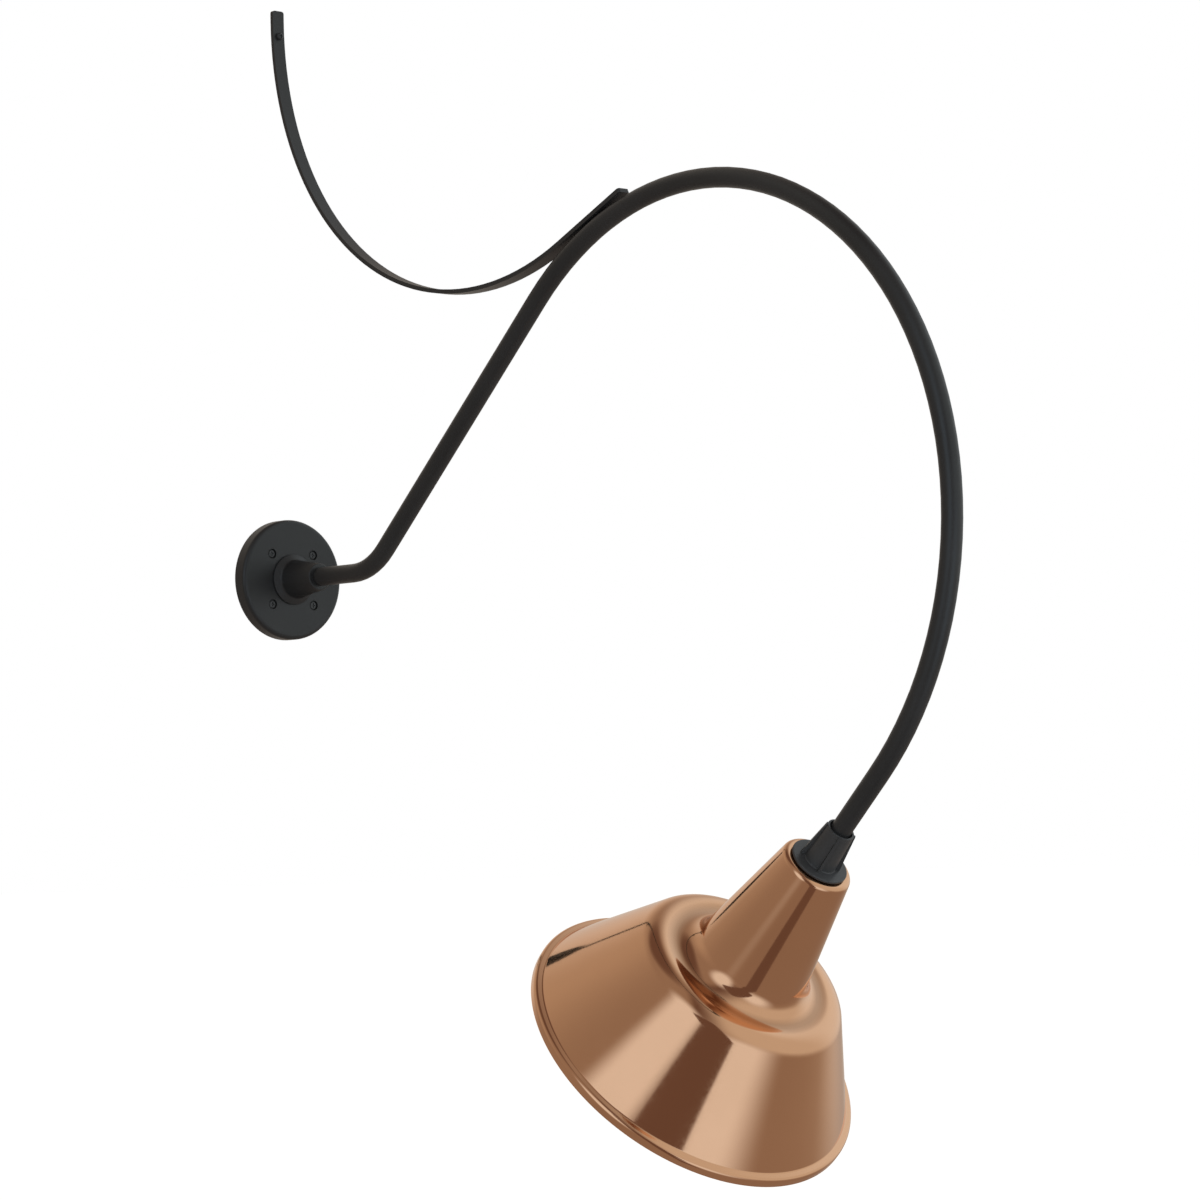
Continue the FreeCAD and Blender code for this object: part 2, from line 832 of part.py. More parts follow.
shell_radius = holder_bore_radius - loose_fit + 0.1
flange_seat = holder_seat + 0.1


def make_screw_shell():
    tube = ring(shell_radius, shell_radius - shell_wall, flange_seat, flange_seat + shell_length)
    flange = ring(shell_radius, shell_flange_bore, flange_seat, flange_seat + shell_flange_thickness)
    notch_width = contact_width + 4.0 * loose_fit + 1.8
    notch_length = shell_radius - 2.0 * shell_wall
    corner = FreeCAD.Vector(0, -notch_width / 2.0, flange_seat - 1.0)
    flange = flange.cut(Part.makeBox(notch_length, notch_width, 4.0, corner))
    post = rod(post_radius, holder_top, flange_seat + shell_flange_thickness, -post_spread)
    return hung(tube.fuse(flange).fuse(post).removeSplitter())


def make_centre_contact():
    foot = flange_seat
    heel = post_spread + post_radius - 0.2
    knee = contact_width
    toe = -contact_width / 2.0
    tip = foot + contact_rise
    spring = Part.makePolygon(
        [
            FreeCAD.Vector(heel, 0, foot),
            FreeCAD.Vector(heel, 0, foot + contact_thickness),
            FreeCAD.Vector(knee, 0, foot + contact_thickness),
            FreeCAD.Vector(-toe, 0, tip),
            FreeCAD.Vector(toe, 0, tip),
            FreeCAD.Vector(toe, 0, tip - contact_thickness),
            FreeCAD.Vector(-toe, 0, tip - contact_thickness),
            FreeCAD.Vector(knee, 0, foot),
            FreeCAD.Vector(heel, 0, foot),
        ]
    )
    strip = Part.Face(spring).extrude(FreeCAD.Vector(0, contact_width, 0))
    strip.translate(FreeCAD.Vector(0, -contact_width / 2.0, 0))
    post = rod(post_radius, holder_top, foot + contact_thickness, post_spread)
    return hung(strip.fuse(post))


# Bulb, along the shade's axis

bulb_tip = flange_seat + contact_rise + contact_gap
insulator_top = bulb_tip + bulb_contact_height
bulb_cap_top = insulator_top + bulb_insulator_height
bulb_cap_edge = bulb_cap_top + bulb_cap_length
bulb_end = bulb_tip + bulb_length
bulb_centre = bulb_end - bulb_radius


def make_bulb_contact():
    return hung(
        turned(
            [
                (0.0, bulb_tip),
                (bulb_contact_radius, bulb_tip),
                (bulb_contact_radius, insulator_top),
                (0.0, insulator_top),
            ],
            [bulb_contact_height * 0.8, 0],
        )
    )


def make_bulb_insulator():
    return hung(
        turned(
            [
                (0.0, insulator_top),
                (bulb_contact_radius + 0.6, insulator_top),
                (bulb_insulator_radius, bulb_cap_top),
                (0.0, bulb_cap_top),
            ]
        )
    )


def make_bulb_cap():
    inner_radius = bulb_cap_radius - bulb_cap_wall
    return hung(
        turned(
            [
                (0.0, bulb_cap_top),
                (bulb_cap_radius, bulb_cap_top),
                (bulb_cap_radius, bulb_cap_edge),
                (inner_radius, bulb_cap_edge),
                (inner_radius, bulb_cap_top + bulb_cap_wall),
                (0.0, bulb_cap_top + bulb_cap_wall),
            ],
            [1.5, 0, 0, 0.8],
        )
    )


def bulb_skin(inset):
    """Edges of the glass outline, from its axis at the foot to its axis at the end."""
    stem = bulb_cap_radius - bulb_cap_wall - seat_gap - inset
    foot = bulb_cap_edge - glass_insert + inset
    lip = bulb_neck_radius - inset
    neck_end = bulb_cap_edge + bulb_neck_length
    radius = bulb_radius - inset
    to_centre = math.hypot(lip, bulb_centre - neck_end)
    lean = math.asin(radius / to_centre) - math.atan2(lip, bulb_centre - neck_end)
    reach = math.sqrt(to_centre**2 - radius**2)
    touch = (lip + reach * math.sin(lean), neck_end + reach * math.cos(lean))
    chain = [(0.0, foot), (stem, foot), (stem, bulb_cap_edge + 0.5), (lip, neck_end), touch]
    edges = outline(chain, [0.0, 0.0, glass_shoulder_fillet])
    crown = math.atan2(touch[1] - bulb_centre, touch[0])
    middle = (crown + math.pi / 2.0) / 2.0
    edges.append(
        arc(
            FreeCAD.Vector(touch[0], 0, touch[1]),
            FreeCAD.Vector(radius * math.cos(middle), 0, bulb_centre + radius * math.sin(middle)),
            FreeCAD.Vector(0.0, 0, bulb_centre + radius),
        )
    )
    return edges, foot, bulb_centre + radius


def make_bulb_glass():
    solids = []
    for inset in (0.0, bulb_wall):
        edges, foot, end = bulb_skin(inset)
        axis = line(FreeCAD.Vector(0, 0, end), FreeCAD.Vector(0, 0, foot))
        solids.append(revolve(edges + [axis]))
    return hung(solids[0].cut(solids[1]))


# Wires through the arm


def make_lead(side):
    """One lead: out of its connector, round into the hub, along the arm and onto its post."""
    bend = wire_bend_radius
    x = side * wire_spacing
    diagonal = bend * math.cos(math.radians(45.0))
    mouth = wire_inlet_reach + bend
    inlet = [
        line(
            point(wire_inlet_reach, 0.0, side * wire_lead_end),
            point(wire_inlet_reach, 0.0, x + side * bend),
        ),
        arc(
            point(wire_inlet_reach, 0.0, x + side * bend),
            point(mouth - diagonal, 0.0, x + side * (bend - diagonal)),
            point(mouth, 0.0, x),
        ),
    ]
    shift = post_spread - wire_spacing
    turn = math.acos(1.0 - shift / 2.0 / bend)
    spread = 2.0 * bend * math.sin(turn)
    knee = holder_top - spread
    forward, upward = heading_vector(shade_heading)

    def on_axis(drop, offset):
        return point(
            bend_end[0] + drop * forward, bend_end[1] + drop * upward, x + side * offset
        )

    half_sine = bend * math.sin(turn / 2.0)
    half_shift = bend * (1.0 - math.cos(turn / 2.0))
    outlet = [
        arc(
            on_axis(knee, 0.0),
            on_axis(knee + half_sine, half_shift),
            on_axis(knee + spread / 2.0, shift / 2.0),
        ),
        arc(
            on_axis(knee + spread / 2.0, shift / 2.0),
            on_axis(holder_top - half_sine, shift - half_shift),
            on_axis(holder_top, shift),
        ),
    ]
    return sweep(inlet + arm_route(mouth, knee, x) + outlet, wire_radius)


def make_line_wire():
    return make_lead(1)


def make_neutral_wire():
    return make_lead(-1)


nodes = {
    "wall_plate": make_wall_plate,
    "wall_gasket": make_wall_gasket,
    "plate_screws": make_plate_screws,
    "arm_set_screw": make_arm_set_screw,
    "ground_screw": make_ground_screw,
    "ground_terminal": make_ground_terminal,
    "ground_wire": make_ground_wire,
    "wire_connectors": make_wire_connectors,
    "line_wire": make_line_wire,
    "neutral_wire": make_neutral_wire,
    "gooseneck_arm": make_gooseneck_arm,
    "brace_strap": make_brace_strap,
    "brace_wall_screw": make_brace_wall_screw,
    "brace_arm_screw": make_brace_arm_screw,
    "shade_collar": make_shade_collar,
    "neck_gasket": make_neck_gasket,
    "neck_locknut": make_neck_locknut,
    "shade": make_shade,
    "socket_cap": make_socket_cap,
    "lampholder_body": make_lampholder_body,
    "lampholder_screws": make_lampholder_screws,
    "screw_shell": make_screw_shell,
    "centre_contact": make_centre_contact,
    "bulb_contact": make_bulb_contact,
    "bulb_insulator": make_bulb_insulator,
    "bulb_cap": make_bulb_cap,
    "bulb_glass": make_bulb_glass,
}

for name, make in nodes.items():
    shape = make()
    if not shape.isValid():
        print("not valid:", name)
    solids = len(shape.Solids)
    box = shape.BoundBox
    size = "%.1f x %.1f x %.1f" % (box.XLength, box.YLength, box.ZLength)
    print("%-18s solids %d  volume %9.0f  size %s" % (name, solids, shape.Volume, size))
    shape.exportStep("parts/%s.step" % name)
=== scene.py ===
import math

import bpy
from mathutils import Matrix, Vector


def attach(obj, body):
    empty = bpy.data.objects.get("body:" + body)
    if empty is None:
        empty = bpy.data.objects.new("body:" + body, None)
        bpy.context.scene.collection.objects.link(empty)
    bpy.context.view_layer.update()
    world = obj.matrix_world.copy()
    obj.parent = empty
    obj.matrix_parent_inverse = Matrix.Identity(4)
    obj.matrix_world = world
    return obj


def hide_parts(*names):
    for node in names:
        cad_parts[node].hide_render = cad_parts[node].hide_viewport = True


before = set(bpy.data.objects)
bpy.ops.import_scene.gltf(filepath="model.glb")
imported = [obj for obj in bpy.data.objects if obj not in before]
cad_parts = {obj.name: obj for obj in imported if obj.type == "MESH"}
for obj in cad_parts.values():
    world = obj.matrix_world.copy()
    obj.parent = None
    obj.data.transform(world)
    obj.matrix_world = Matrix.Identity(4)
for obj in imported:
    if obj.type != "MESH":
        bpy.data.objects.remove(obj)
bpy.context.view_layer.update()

# Gooseneck wall sconce. Metres, +Z up, the wall is the plane Y = 0 and the arm lies in X = 0.

# The shade's axis: where the arm's large bend ends, and the way down the axis.
SHADE_TILT = math.radians(45.25)
AXIS_FOOT = Vector((0.0, -0.96428, -0.24945))
AXIS = Vector((0.0, math.sin(SHADE_TILT), -math.cos(SHADE_TILT)))


# Camera, at the photograph's viewing angle

CAMERA_AZIMUTH = 41.15
CAMERA_ELEVATION = -3.506
CAMERA_ROLL = -1.13
CAMERA_DISTANCE = 3.90794
CAMERA_TARGET = Vector((0.0, -0.5599, -0.0558))
CAMERA_LENS = 111.309
CAMERA_SENSOR = 36.0
CAMERA_REACH = 60.0


def make_camera():
    azimuth = math.radians(CAMERA_AZIMUTH)
    elevation = math.radians(CAMERA_ELEVATION)
    roll = math.radians(CAMERA_ROLL)
    back = Vector(
        (
            -math.cos(elevation) * math.sin(azimuth),
            -math.cos(elevation) * math.cos(azimuth),
            math.sin(elevation),
        )
    )
    level = Vector((math.cos(azimuth), -math.sin(azimuth), 0.0))
    upright = back.cross(level)
    right = level * math.cos(roll) + upright * math.sin(roll)
    up = upright * math.cos(roll) - level * math.sin(roll)
    data = bpy.data.cameras.new("camera")
    data.sensor_width = CAMERA_SENSOR
    data.lens = CAMERA_LENS
    data.clip_end = CAMERA_REACH
    camera = bpy.data.objects.new("camera", data)
    turn = Matrix((right, up, back)).transposed().to_4x4()
    camera.matrix_world = Matrix.Translation(CAMERA_TARGET + back * CAMERA_DISTANCE) @ turn
    bpy.context.scene.collection.objects.link(camera)
    bpy.context.scene.camera = camera


make_camera()


# Material building blocks


class Tree:
    """A node tree and short ways to add and join its nodes."""

    def __init__(self, tree):
        self.tree = tree

    def add(self, kind, **settings):
        node = self.tree.nodes.new(kind)
        for key, value in settings.items():
            setattr(node, key, value)
        return node

    def join(self, source, target):
        self.tree.links.new(source, target)

    def fill(self, socket, value):
        if isinstance(value, bpy.types.NodeSocket):
            self.join(value, socket)
        else:
            socket.default_value = value

    def maths(self, operation, first, second=0.0):
        node = self.add("ShaderNodeMath", operation=operation)
        self.fill(node.inputs[0], first)
        self.fill(node.inputs[1], second)
        return node.outputs[0]

    def vector(self, operation, first, second, result="Vector"):
        node = self.add("ShaderNodeVectorMath", operation=operation)
        self.fill(node.inputs[0], first)
        self.fill(node.inputs[1], second)
        return node.outputs[result]

    def span(self, value, low, high, start=0.0, end=1.0):
        node = self.add("ShaderNodeMapRange")
        self.join(value, node.inputs["Value"])
        node.inputs["From Min"].default_value = start
        node.inputs["From Max"].default_value = end
        node.inputs["To Min"].default_value = low
        node.inputs["To Max"].default_value = high
        return node.outputs["Result"]

    def mix(self, factor, first, second):
        node = self.add("ShaderNodeMix", data_type="RGBA")
        self.fill(node.inputs[0], factor)
        self.fill(node.inputs[6], first)
        self.fill(node.inputs[7], second)
        return node.outputs[2]


class Nodes(Tree):
    """A procedural material that takes its places from the object."""

    def __init__(self, name):
        self.material = bpy.data.materials.new(name)
        self.material.use_nodes = True
        super().__init__(self.material.node_tree)
        self.shader = self.tree.nodes["Principled BSDF"]
        self.place = self.add("ShaderNodeTexCoord").outputs["Object"]

    def noise(self, scale, detail=3.0, roughness=0.5, vector=None):
        node = self.add("ShaderNodeTexNoise")
        self.join(vector or self.place, node.inputs["Vector"])
        node.inputs["Scale"].default_value = scale
        node.inputs["Detail"].default_value = detail
        node.inputs["Roughness"].default_value = roughness
        return node.outputs["Fac"]

    def rings(self, along, scale, detail=3.0):
        node = self.add("ShaderNodeTexNoise", noise_dimensions="1D")
        self.join(along, node.inputs["W"])
        node.inputs["Scale"].default_value = scale
        node.inputs["Detail"].default_value = detail
        return node.outputs["Fac"]

    def blend(self, value, first, second, start=0.3, end=0.7):
        ramp = self.add("ShaderNodeValToRGB")
        self.join(value, ramp.inputs["Fac"])
        ramp.color_ramp.elements[0].position = start
        ramp.color_ramp.elements[0].color = (*first, 1.0)
        ramp.color_ramp.elements[1].position = end
        ramp.color_ramp.elements[1].color = (*second, 1.0)
        return ramp.outputs["Color"]

    def bump(self, height, strength, distance):
        node = self.add("ShaderNodeBump")
        self.join(height, node.inputs["Height"])
        node.inputs["Strength"].default_value = strength
        node.inputs["Distance"].default_value = distance
        self.join(node.outputs["Normal"], self.shader.inputs["Normal"])

    def colour(self, source):
        self.join(source, self.shader.inputs["Base Color"])

    def rough(self, source):
        self.join(source, self.shader.inputs["Roughness"])

    def set(self, **values):
        for key, value in values.items():
            self.shader.inputs[key.replace("_", " ")].default_value = value

    def along_shade(self):
        """The drop down the shade's axis and the distance from it, in metres."""
        offset = self.vector("SUBTRACT", self.place, AXIS_FOOT)
        drop = self.vector("DOT_PRODUCT", offset, AXIS, "Value")
        on_axis = self.add("ShaderNodeVectorMath", operation="SCALE")
        on_axis.inputs[0].default_value = AXIS
        self.join(drop, on_axis.inputs["Scale"])
        away = self.vector("SUBTRACT", offset, on_axis.outputs[0])
        length = self.add("ShaderNodeVectorMath", operation="LENGTH")
        self.join(away, length.inputs[0])
        return drop, length.outputs["Value"]


# The black coats' reflection is a little cool, to offset the studio's warm panels.
COAT_TINT = (0.80, 0.91, 1.0, 1.0)


def powder_coat(name, tone, grain=1.0):
    """Satin black powder coat with its fine orange peel."""
    made = Nodes(name)
    broad = made.noise(9.0, 4.0)
    fine = made.noise(900.0, 2.0)
    peel = made.noise(420.0, 3.0, 0.6)
    dark = (tone * 0.78, tone * 0.85, tone * 0.92)
    light = (tone * 1.10, tone * 1.18, tone * 1.26)
    made.colour(made.blend(broad, dark, light))
    made.rough(made.span(made.maths("ADD", broad, fine), 0.32, 0.46, 0.6, 1.4))
    made.bump(made.maths("ADD", peel, made.maths("MULTIPLY", fine, 0.5)), 0.10 * grain, 0.00015)
    made.set(Specular_IOR_Level=0.62, Specular_Tint=COAT_TINT)
    return made.material


COPPER_DEEP = (0.86, 0.515, 0.315)
COPPER_PALE = (0.92, 0.555, 0.345)
COPPER_RING = (0.79, 0.46, 0.28, 1.0)
# Painted shade: a brown mixed into the copper's colour in the groove at the neck's foot.
GROOVE_PAINTED_SHADE = (0.34, 0.20, 0.125, 1.0)
# Radii between which the groove's painted shade comes in, and those between which it goes.
GROOVE_INNER = (0.072, 0.079)
GROOVE_OUTER = (0.083, 0.092)


def polished_copper(name):
    """Spun and lacquered copper: faint lathe rings, small waves and painted shade darkening the
    groove.
    """
    made = Nodes(name)
    drop, radius = made.along_shade()
    along = made.maths("ADD", drop, radius)
    rings = made.rings(along, 1500.0, 4.0)
    waves = made.noise(14.0, 2.0)
    toning = made.noise(6.0, 5.0, 0.55)
    specks = made.noise(260.0, 3.0)
    warm = made.blend(toning, COPPER_DEEP, COPPER_PALE)
    ringed = made.mix(made.span(rings, 0.0, 0.12, 0.35, 0.75), warm, COPPER_RING)
    # Painted shade: the colour darkens to brown in the groove between the neck's foot and the
    # raised ring.
    groove_shade_mask = made.maths(
        "MULTIPLY",
        made.span(radius, 0.0, 1.0, *GROOVE_INNER),
        made.span(radius, 1.0, 0.0, *GROOVE_OUTER),
    )
    groove_shade_share = made.maths("MULTIPLY", groove_shade_mask, made.span(toning, 0.40, 0.65, 0.3, 0.7))
    made.colour(made.mix(groove_shade_share, ringed, GROOVE_PAINTED_SHADE))
    worn = made.maths("MULTIPLY", made.maths("ADD", specks, rings), 0.5)
    made.rough(made.span(worn, 0.06, 0.12, 0.35, 0.65))
    height = made.maths("ADD", made.maths("MULTIPLY", rings, 0.02), waves)
    made.bump(height, 0.10, 0.0008)
    made.set(Metallic=1.0)
    return made.material


def plated_metal(name, light, dark, roughness, grain=300.0):
    """Bare or plated metal with fine marks."""
    made = Nodes(name)
    marks = made.noise(grain, 5.0, 0.65)
    broad = made.noise(30.0, 3.0)
    made.colour(made.blend(broad, dark, light))
    made.rough(made.span(marks, roughness * 0.75, roughness * 1.35, 0.3, 0.7))
    made.bump(marks, 0.12, 0.0002)
    made.set(Metallic=1.0)
    return made.material


def moulded(name, light, dark, roughness, grain=500.0):
    """Moulded plastic or rubber with a fine grain."""
    made = Nodes(name)
    broad = made.noise(40.0, 3.0)
    fine = made.noise(grain, 3.0, 0.6)
    made.colour(made.blend(broad, dark, light))
    made.rough(made.span(fine, roughness * 0.85, roughness * 1.15, 0.3, 0.7))
    made.bump(fine, 0.15, 0.0002)
    return made.material


def glazed_porcelain(name):
    """White porcelain under a clear glaze, with faint specks."""
    made = Nodes(name)
    specks = made.noise(420.0, 2.0)
    clouds = made.noise(35.0, 4.0)
    body = made.blend(clouds, (0.80, 0.78, 0.72), (0.86, 0.84, 0.79))
    made.colour(made.mix(made.span(specks, 0.0, 0.35, 0.70, 0.80), body, (0.55, 0.50, 0.42, 1.0)))
    made.rough(made.span(clouds, 0.16, 0.26))
    made.bump(clouds, 0.08, 0.0006)
    made.set(Coat_Weight=0.6, Coat_Roughness=0.05)
    return made.material


def opal_glass(name):
    """The bulb's white-coated glass."""
    made = Nodes(name)
    clouds = made.noise(28.0, 3.0)
    made.colour(made.blend(clouds, (0.86, 0.85, 0.80), (0.92, 0.91, 0.87)))
    made.rough(made.span(clouds, 0.10, 0.18))
    made.set(Subsurface_Weight=0.25, Subsurface_Scale=0.004, Coat_Weight=0.5, Coat_Roughness=0.04)
    made.shader.inputs["Subsurface Radius"].default_value = (1.0, 0.9, 0.7)
    return made.material


black_coat = powder_coat("black_powder_coat", 0.021)
black_cast = powder_coat("black_cast_coat", 0.018, 2.0)
black_screw = powder_coat("black_screw_coat", 0.030, 0.6)
# Painted light: the collar gets the same black coat at twice the tone, for the brighter look that
# light gives it.
black_collar = powder_coat("black_collar_coat", 0.042, 0.8)
copper = polished_copper("polished_copper")
zinc = plated_metal("zinc_plate", (0.66, 0.67, 0.68), (0.52, 0.53, 0.54), 0.30)
brass = plated_metal("brass_strip", (0.78, 0.60, 0.30), (0.66, 0.48, 0.22), 0.26)
alloy = plated_metal("pressed_alloy", (0.74, 0.74, 0.75), (0.62, 0.62, 0.63), 0.32)
rubber = moulded("black_rubber", (0.030, 0.030, 0.030), (0.018, 0.018, 0.018), 0.75)
black_wire = moulded("black_lead", (0.035, 0.035, 0.035), (0.022, 0.022, 0.022), 0.45)
white_wire = moulded("white_lead", (0.80, 0.80, 0.77), (0.72, 0.72, 0.69), 0.45)
green_wire = moulded("green_lead", (0.05, 0.30, 0.10), (0.03, 0.22, 0.07), 0.45)
amber_cap = moulded("amber_connector", (0.72, 0.36, 0.05), (0.60, 0.28, 0.03), 0.40)
black_glass = moulded("black_bulb_insulator", (0.03, 0.025, 0.03), (0.015, 0.012, 0.015), 0.15)
porcelain = glazed_porcelain("glazed_porcelain")
opal = opal_glass("opal_glass")

finishes = {
    "wall_plate": black_cast,
    "wall_gasket": rubber,
    "plate_screws": black_screw,
    "arm_set_screw": black_screw,
    "ground_screw": zinc,
    "ground_terminal": brass,
    "ground_wire": green_wire,
    "wire_connectors": amber_cap,
    "line_wire": black_wire,
    "neutral_wire": white_wire,
    "gooseneck_arm": black_coat,
    "brace_strap": black_coat,
    "brace_wall_screw": black_screw,
    "brace_arm_screw": black_screw,
    "shade_collar": black_collar,
    "neck_gasket": rubber,
    "neck_locknut": zinc,
    "shade": copper,
    "socket_cap": alloy,
    "lampholder_body": porcelain,
    "lampholder_screws": zinc,
    "screw_shell": brass,
    "centre_contact": brass,
    "bulb_contact": brass,
    "bulb_insulator": black_glass,
    "bulb_cap": alloy,
    "bulb_glass": opal,
}
for name, finish in finishes.items():
    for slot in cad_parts[name].material_slots:
        slot.material = finish


# Shade: the spun sheet with its full curves, a raised ring round a groove at the neck's foot

SHADE_WALL = 0.0012
NECK_TOP = (0.0370, 0.1206)
NECK_FOOT = (0.0638, 0.2718)
SHOULDER_RADIUS = 0.1051
SKIRT_FOOT = (0.1742, 0.3795)
SKIRT_SLOPE = 0.603
RIM_RADIUS = 0.1823
LEDGE_DROP = 0.3810
HEM_DROP = 0.3896
HEM_RADIUS = 0.0018
HEM_SWEEP = math.pi * 1.12
HEM_STEPS = 16
HEM_LAP = 0.0016
HOLE_RADIUS = 0.0143
# Roundings of the inner corners in order: neck top, neck foot, shoulder, skirt foot, rim.
CORNER_RADII = (0.0055, 0.0232, 0.0246, 0.0025, 0.0042)
SHADE_SEGMENTS = 288
SHARP_ANGLE = math.radians(40.0)


def rounded(corners, radii, steps=14):
    """Points of an open chain of (radius, drop) corners, each inner one rounded by its radius."""
    corners = [Vector(corner) for corner in corners]
    points = [corners[0]]
    for before, corner, after, radius in zip(corners, corners[1:], corners[2:], radii):
        inward = (before - corner).normalized()
        outward = (after - corner).normalized()
        half = inward.angle(outward) / 2.0
        centre = corner + (inward + outward).normalized() * radius / math.sin(half)
        first = corner + inward * radius / math.tan(half) - centre
        last = corner + outward * radius / math.tan(half) - centre
        sweep = math.pi - 2.0 * half
        for step in range(steps + 1):
            share = step / steps
            near = math.sin((1.0 - share) * sweep) * first + math.sin(share * sweep) * last
            points.append(centre + near / math.sin(sweep))
    points.append(corners[-1])
    return points


def inset(points, distance):
    """The same chain moved sideways into the shade."""
    moved = []
    for number, spot in enumerate(points):
        before = points[max(number - 1, 0)]
        after = points[min(number + 1, len(points) - 1)]
        along = (after - before).normalized()
        moved.append(spot + Vector((-along.y, along.x)) * distance)
    return moved


def turned(name, loop, segments=SHADE_SEGMENTS):
    """A closed loop of (radius, drop) points turned round the shade's axis into a mesh."""
    level = Vector((1.0, 0.0, 0.0))
    upright = AXIS.cross(level)
    spots, faces = [], []
    count = len(loop)
    for segment in range(segments):
        angle = 2.0 * math.pi * segment / segments
        away = level * math.cos(angle) + upright * math.sin(angle)
        spots += [AXIS_FOOT + AXIS * drop + away * radius for radius, drop in loop]
    for segment in range(segments):
        here, there = segment * count, (segment + 1) % segments * count
        for number in range(count):
            after = (number + 1) % count
            faces.append((here + number, here + after, there + after, there + number))
    mesh = bpy.data.meshes.new(name)
    mesh.from_pydata(spots, [], faces)
    mesh.validate()
    mesh.shade_smooth()
    mesh.set_sharp_from_angle(angle=SHARP_ANGLE)
    piece = bpy.data.objects.new(name, mesh)
    bpy.context.scene.collection.objects.link(piece)
    return piece


def make_shade():
    skirt_rise = (SKIRT_FOOT[0] - SHOULDER_RADIUS) / SKIRT_SLOPE
    shoulder = (SHOULDER_RADIUS, SKIRT_FOOT[1] - skirt_rise)
    corners = [
        (HOLE_RADIUS, NECK_TOP[1]),
        NECK_TOP,
        NECK_FOOT,
        shoulder,
        SKIRT_FOOT,
        (RIM_RADIUS, LEDGE_DROP),
        (RIM_RADIUS, HEM_DROP),
    ]
    outer = rounded(corners, CORNER_RADII)
    inner = inset(outer, SHADE_WALL)
    inner[0].x = HOLE_RADIUS
    inner[-1] = Vector((RIM_RADIUS - SHADE_WALL, HEM_DROP - HEM_LAP))
    middle = RIM_RADIUS - HEM_RADIUS
    hem = []
    for step in range(1, HEM_STEPS + 1):
        angle = HEM_SWEEP * step / HEM_STEPS
        turn = Vector((math.cos(angle), math.sin(angle)))
        hem.append(Vector((middle, HEM_DROP)) + turn * HEM_RADIUS)
    loop = outer + hem + inner[::-1]
    piece = turned("copper_shade", [tuple(spot) for spot in loop])
    piece.data.materials.append(copper)
    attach(piece, "fixture")
    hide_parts("shade")


make_shade()


# Studio: a room of soft boxes, seen in the copper by direction

FLOOR_HEIGHT = -1.05
FLOOR_HALF = 40.0
# Seen by the camera alone, this glow takes the grey floor to white and leaves its shadow.
FLOOR_GLOW = 0.86
UPWARD = Vector((0.0, 0.0, 1.0))
ROOM = (0.31, 0.245, 0.20)
DIM = (0.275, 0.21, 0.17)
DARK = (0.145, 0.092, 0.073)
SIDE = (0.46, 0.385, 0.315)
SOFT = (0.59, 0.56, 0.51)
BRIGHT = (0.72, 0.74, 0.74)
COOL = (0.78, 0.83, 0.88)
BACKDROP = (0.64, 0.57, 0.50)


def heading(azimuth, elevation):
    """A direction: azimuth 0 looks out from the wall and 90 along +X."""
    turn, rise = math.radians(azimuth), math.radians(elevation)
    level = Vector((math.sin(turn), -math.cos(turn), 0.0)) * math.cos(rise)
    return level + Vector((0.0, 0.0, math.sin(rise)))


class Studio(Tree):
    """The world as seen by light and reflections."""

    def __init__(self, tree):
        super().__init__(tree)
        self.look = self.add("ShaderNodeTexCoord").outputs["Generated"]
        self.seen = (*ROOM, 1.0)

    def part(self, axis):
        return self.vector("DOT_PRODUCT", self.look, axis, "Value")

    def lay(self, share, colour):
        self.seen = self.mix(share, self.seen, (*colour, 1.0))

    def box(
        self, azimuth, elevation, half_width, half_height, colour, roll=0.0, soft=0.2, power=2.0
    ):
        """A soft panel round a direction; a higher power squares its corners."""
        centre = heading(azimuth, elevation)
        level = UPWARD.cross(centre).normalized()
        upright = centre.cross(level)
        lean = math.radians(roll)
        across = level * math.cos(lean) + upright * math.sin(lean)
        along = upright * math.cos(lean) - level * math.sin(lean)
        across /= math.sin(math.radians(half_width))
        along /= math.sin(math.radians(half_height))
        wide = self.maths("POWER", self.maths("ABSOLUTE", self.part(across)), power)
        high = self.maths("POWER", self.maths("ABSOLUTE", self.part(along)), power)
        away = self.maths("POWER", self.maths("ADD", wide, high), 1.0 / power)
        inside = self.smooth(away, 1.0 + soft, 1.0 - soft)
        front = self.maths("GREATER_THAN", self.part(centre), 0.0)
        self.lay(self.maths("MULTIPLY", inside, front), colour)

    def smooth(self, value, start, end):
        node = self.add("ShaderNodeMapRange", interpolation_type="SMOOTHSTEP")
        self.join(value, node.inputs["Value"])
        node.inputs["From Min"].default_value = start
        node.inputs["From Max"].default_value = end
        return node.outputs["Result"]


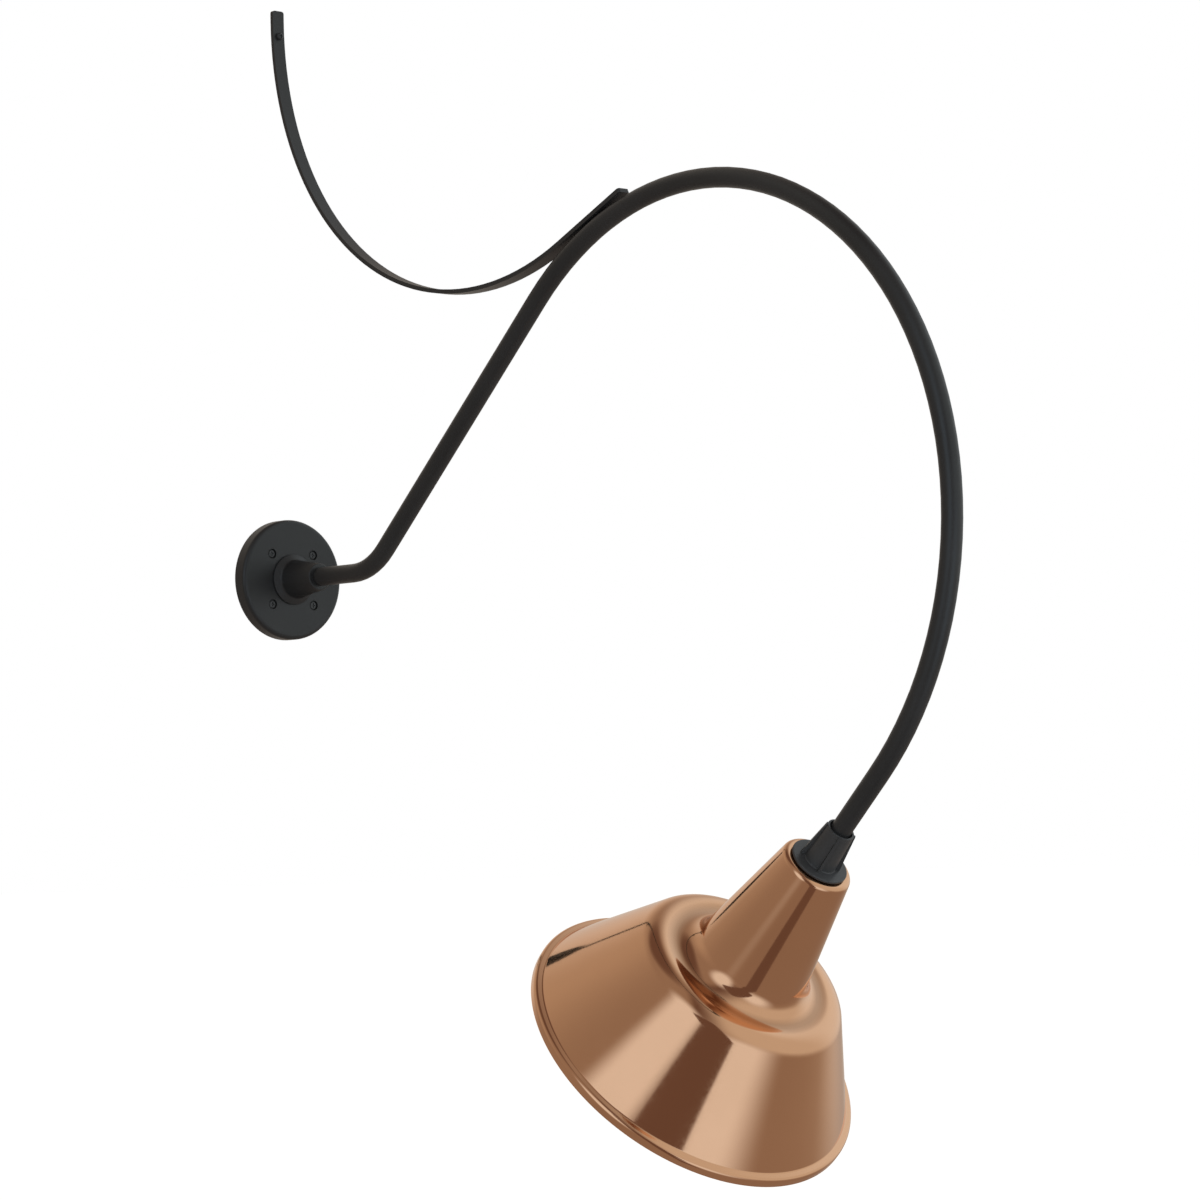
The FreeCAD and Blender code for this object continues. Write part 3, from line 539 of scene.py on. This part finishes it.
def make_world():
    """White to the camera; to reflections, panels placed where the photograph's copper has them."""
    world = bpy.data.worlds.new("studio")
    world.use_nodes = True
    bpy.context.scene.world = world
    world.node_tree.nodes.clear()
    made = Studio(world.node_tree)
    made.box(30, -2, 84, 66, DARK, soft=0.03)
    made.box(50, 0, 71, 53, ROOM, soft=0.05)
    made.lay(made.smooth(made.part(UPWARD), -0.30, -0.55), DIM)
    made.lay(made.smooth(made.part(UPWARD), 0.88, 0.98), DARK)
    made.box(-167, 42, 36, 18, SIDE, soft=0.8)
    made.box(-64, 13, 17, 30, COOL, roll=-30, soft=0.40)
    made.box(52, 24, 72, 35, SOFT, soft=0.25)
    made.box(92, 24, 24, 30, BRIGHT, soft=0.5)
    made.box(-12, -19, 24, 20, COOL, soft=0.6)
    made.box(155, 10, 30, 34, BACKDROP, soft=0.5)
    made.box(-36, -4, 13.5, 28, DARK, soft=0.04, power=6.0)
    made.box(-44, -50, 8.5, 22, DARK, soft=0.08, power=6.0)
    room = made.add("ShaderNodeBackground")
    made.join(made.seen, room.inputs["Color"])
    white = made.add("ShaderNodeBackground")
    white.inputs["Color"].default_value = (1.0, 1.0, 1.0, 1.0)
    split = made.add("ShaderNodeMixShader")
    path = made.add("ShaderNodeLightPath").outputs
    shown = made.maths("MAXIMUM", path["Is Camera Ray"], path["Is Transmission Ray"])
    made.join(shown, split.inputs[0])
    made.join(room.outputs[0], split.inputs[1])
    made.join(white.outputs[0], split.inputs[2])
    made.join(split.outputs[0], made.add("ShaderNodeOutputWorld").inputs["Surface"])


def make_floor():
    """Paint that keeps the shadow; reflections and views from underneath pass through it."""
    mesh = bpy.data.meshes.new("floor")
    signs = [(-1, -1), (1, -1), (1, 1), (-1, 1)]
    corners = [(FLOOR_HALF * x, FLOOR_HALF * y, 0) for x, y in signs]
    mesh.from_pydata(corners, [], [(0, 1, 2, 3)])
    floor = bpy.data.objects.new("floor", mesh)
    floor.location = (0.0, 0.0, FLOOR_HEIGHT)
    bpy.context.scene.collection.objects.link(floor)
    paint = Nodes("floor_paint")
    clouds = paint.noise(2.0, 3.0)
    paint.colour(paint.blend(clouds, (0.45, 0.45, 0.45), (0.46, 0.46, 0.46)))
    paint.set(Roughness=1.0, Specular_IOR_Level=0.0)
    path = paint.add("ShaderNodeLightPath")
    glow = paint.maths("MULTIPLY", path.outputs["Is Camera Ray"], FLOOR_GLOW)
    paint.join(glow, paint.shader.inputs["Emission Strength"])
    paint.set(Emission_Color=(1.0, 1.0, 1.0, 1.0))
    clear = paint.add("ShaderNodeBsdfTransparent")
    split = paint.add("ShaderNodeMixShader")
    underside = paint.add("ShaderNodeNewGeometry").outputs["Backfacing"]
    paint.join(paint.maths("MAXIMUM", path.outputs["Is Glossy Ray"], underside), split.inputs[0])
    paint.join(paint.shader.outputs[0], split.inputs[1])
    paint.join(clear.outputs[0], split.inputs[2])
    paint.join(split.outputs[0], paint.tree.nodes["Material Output"].inputs["Surface"])
    mesh.materials.append(paint.material)


def soft_light(name, place, target, size, power):
    """An area lamp that lights the coats and isn't itself seen in the copper."""
    data = bpy.data.lights.new(name, "AREA")
    data.size = size
    data.energy = power
    light = bpy.data.objects.new(name, data)
    direction = Vector(target) - Vector(place)
    light.rotation_mode = "QUATERNION"
    light.rotation_quaternion = direction.to_track_quat("-Z", "Y")
    light.location = place
    light.visible_glossy = False
    bpy.context.scene.collection.objects.link(light)


make_floor()
make_world()
middle = (0.0, -0.65, -0.1)
soft_light("key", (2.4, -3.2, 0.2), middle, 2.0, 45.0)
soft_light("top", (-0.8, -1.6, 3.4), middle, 2.4, 8.0)
soft_light("low", (-1.6, -3.4, -0.7), (0.0, -0.95, -0.3), 1.6, 50.0)

bpy.context.scene.view_settings.view_transform = "Standard"
